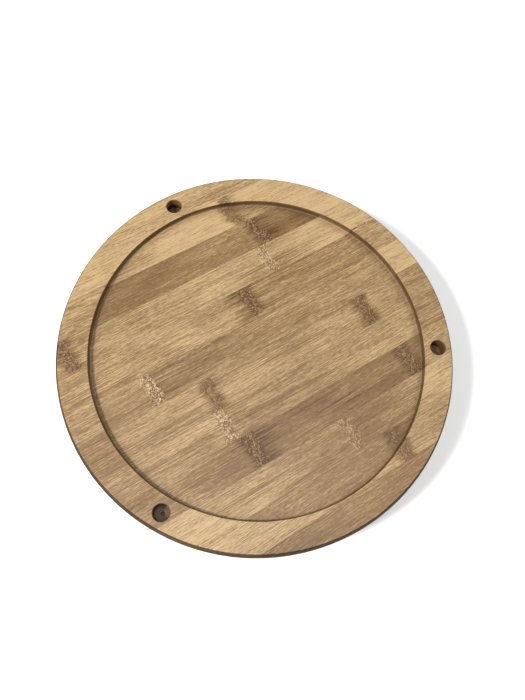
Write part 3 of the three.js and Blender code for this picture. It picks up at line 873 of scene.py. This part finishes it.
def make_screws(stem, body, head_up, material):
    for i, node in enumerate(nodes_named(stem), 1):
        low, high = box_mm(node)
        bm, head, tall = screw_mesh(stem, high.z - low.z)
        over = Matrix.Rotation(TURN / 2, 4, "X") if head_up else Matrix.Identity(4)
        twist = Matrix.Rotation(math.radians(37 * i), 4, "Z")
        at = Vector(((low.x + high.x) / 2, (low.y + high.y) / 2, high.z if head_up else low.z))
        screw = in_metres(bm, f"{stem}_steel_{i}", at, twist @ over)
        # one cutter for each blade, so that no cutter crosses itself
        blades = [driver_blade(head, 0.72 * tall, quarter) for quarter in (0, 1)]
        cut_out(screw, [in_metres(blade, "driver", at, twist @ over) for blade in blades])
        piece(screw, body, material, "screw_steel", node)


def make_washers(material):
    for i, node in enumerate(nodes_named("foot_washer"), 1):
        low, high = box_mm(node)
        outer = (high.x - low.x) / 2
        inner = SCREW_SHANK["foot_screw"] + SHANK_CLEARANCE
        half, edge = (high.z - low.z) / 2, 0.15
        profile = [
            (inner, -half + edge), (inner + edge, -half), (outer - edge, -half), (outer, -half + edge),
            (outer, half - edge), (outer - edge, half), (inner + edge, half), (inner, half - edge),
            (inner, -half + edge),
        ]
        washer = in_metres(turned(profile, 40), f"washer_{i}", centre_mm(node))
        piece(washer, "base", material, "screw_steel", node)


def make_feet(material):
    """Moulded feet: a tapered ring with a well for the screw and a thin parting line round the side."""
    ledge = box_mm("foot_washer_1")[1].z
    well, hole = FOOT_WELL_RADIUS, SCREW_SHANK["foot_screw"] + SHANK_CLEARANCE
    for i, node in enumerate(nodes_named("foot"), 1):
        low, high = box_mm(node)
        tall = high.z - low.z
        slope = FOOT_RADIUS - 0.35
        profile = [
            *arc(well + 0.3, 0.3, 0.3, 180, 270, 3),
            *arc(slope - 0.8, 0.8, 0.8, -90, 0, 5),
            (FOOT_RADIUS - 0.14, 0.62 * tall), (FOOT_RADIUS, 0.64 * tall), (FOOT_RADIUS - 0.14, 0.66 * tall),
            *arc(FOOT_RADIUS - 0.4, tall - 0.4, 0.3, 0, 90, 3),
            (FOOT_RADIUS - 0.6, tall), (hole, tall), (hole, ledge), (well, ledge), (well, 0.3),
        ]
        at = ((low.x + high.x) / 2, (low.y + high.y) / 2, low.z)
        foot = in_metres(turned(profile, 48), f"rubber_foot_{i}", at)
        piece(foot, "base", material, "rubber", node)


# ---------------------------------------------------------------- room, light and camera
CAMERA_AZIMUTH = -128.7
CAMERA_ELEVATION = 70.86
CAMERA_DISTANCE = 0.3704
CAMERA_PAN = -2.84
CAMERA_TILT = 0.12
CAMERA_ROLL = 8.54
CAMERA_LENS = 29.92
CAMERA_SHIFT = (-0.0387, -0.0005)


def direction(azimuth, elevation):
    a, e = math.radians(azimuth), math.radians(elevation)
    return Vector((math.cos(e) * math.cos(a), math.cos(e) * math.sin(a), math.sin(e)))


def make_camera():
    """Looks at the middle of the rim's plane, then pans, tilts and rolls a little off it."""
    target = Vector((0, 0, TRAY_TOP * MM))
    place = target + direction(CAMERA_AZIMUTH, CAMERA_ELEVATION) * CAMERA_DISTANCE
    forward = (target - place).normalized()
    right = forward.cross(Vector((0, 0, 1))).normalized()
    up = right.cross(forward)
    pan = Matrix.Rotation(math.radians(CAMERA_PAN), 3, up)
    forward, right = pan @ forward, pan @ right
    tilt = Matrix.Rotation(math.radians(CAMERA_TILT), 3, right)
    forward = tilt @ forward
    up = right.cross(forward)
    roll = math.radians(CAMERA_ROLL)
    rolled_right = right * math.cos(roll) + up * math.sin(roll)
    rolled_up = up * math.cos(roll) - right * math.sin(roll)
    data = bpy.data.cameras.new("camera")
    data.lens = CAMERA_LENS
    data.sensor_width = 36
    data.shift_x, data.shift_y = CAMERA_SHIFT
    data.clip_start = 0.01
    camera = bpy.data.objects.new("camera", data)
    axes = Matrix((rolled_right, rolled_up, -forward)).transposed()
    camera.matrix_world = Matrix.Translation(place) @ axes.to_4x4()
    bpy.context.scene.collection.objects.link(camera)
    bpy.context.scene.camera = camera


def make_room():
    bm = bmesh.new()
    bmesh.ops.create_grid(bm, x_segments=8, y_segments=8, size=4000)
    floor = in_metres(bm, "floor")
    g = Graph("pale_floor")
    faint = g.noise(g.place(), scale=0.01, detail=2.0)
    g.put(g.shader.inputs["Base Color"], g.mix_colour(faint, (0.94, 0.94, 0.94, 1), (0.96, 0.96, 0.96, 1)))
    g.shader.inputs["Roughness"].default_value = 0.8
    floor.data.materials.append(g.material)
    world = bpy.data.worlds.new("studio")
    world.use_nodes = True
    background = next(n for n in world.node_tree.nodes if n.type == "BACKGROUND")
    background.inputs["Color"].default_value = (1.0, 0.99, 0.97, 1)
    background.inputs["Strength"].default_value = 0.37
    bpy.context.scene.world = world


def area_light(name, azimuth, elevation, distance, size, power, colour):
    """A square soft light that faces the tray."""
    data = bpy.data.lights.new(name, "AREA")
    data.size = size
    data.energy = power
    data.color = colour
    light = bpy.data.objects.new(name, data)
    target = Vector((0, 0, TRAY_TOP * MM))
    toward = direction(azimuth, elevation)
    light.location = target + toward * distance
    light.rotation_euler = toward.to_track_quat("Z", "Y").to_euler()
    bpy.context.scene.collection.objects.link(light)


def make_lights():
    area_light("key", 172, 51, 1.4, 0.20, 22, (1.0, 0.98, 0.95))
    area_light("overhead", -60, 84, 1.5, 0.8, 9, (0.84, 0.92, 1.0))
    area_light("warm_fill", 5, 32, 1.6, 0.9, 8, (1.0, 0.90, 0.76))
    bpy.context.scene.view_settings.view_transform = "Standard"


# ---------------------------------------------------------------- the scene
tray_bamboo = bamboo("tray_bamboo", TRAY_TOP, TRAY_PLY, TRAY_STRIPS, 3.0)
base_bamboo = bamboo("base_bamboo", BASE_HIGH.z, BASE_PLY, None, 11.0)
plate_zinc = zinc("plate_zinc", (0.66, 0.67, 0.68), 0.0)
screw_zinc = zinc("screw_zinc", (0.72, 0.72, 0.70), 40.0)
feet_rubber = rubber()

make_camera()
make_tray(tray_bamboo)
make_base(base_bamboo)
make_swivel(plate_zinc)
make_cage(nylon())
make_balls(ball_steel())
make_screws("tray_screw", "turntable", False, screw_zinc)
make_screws("base_screw", "base", True, screw_zinc)
make_screws("foot_screw", "base", False, screw_zinc)
make_washers(screw_zinc)
make_feet(feet_rubber)
make_room()
make_lights()
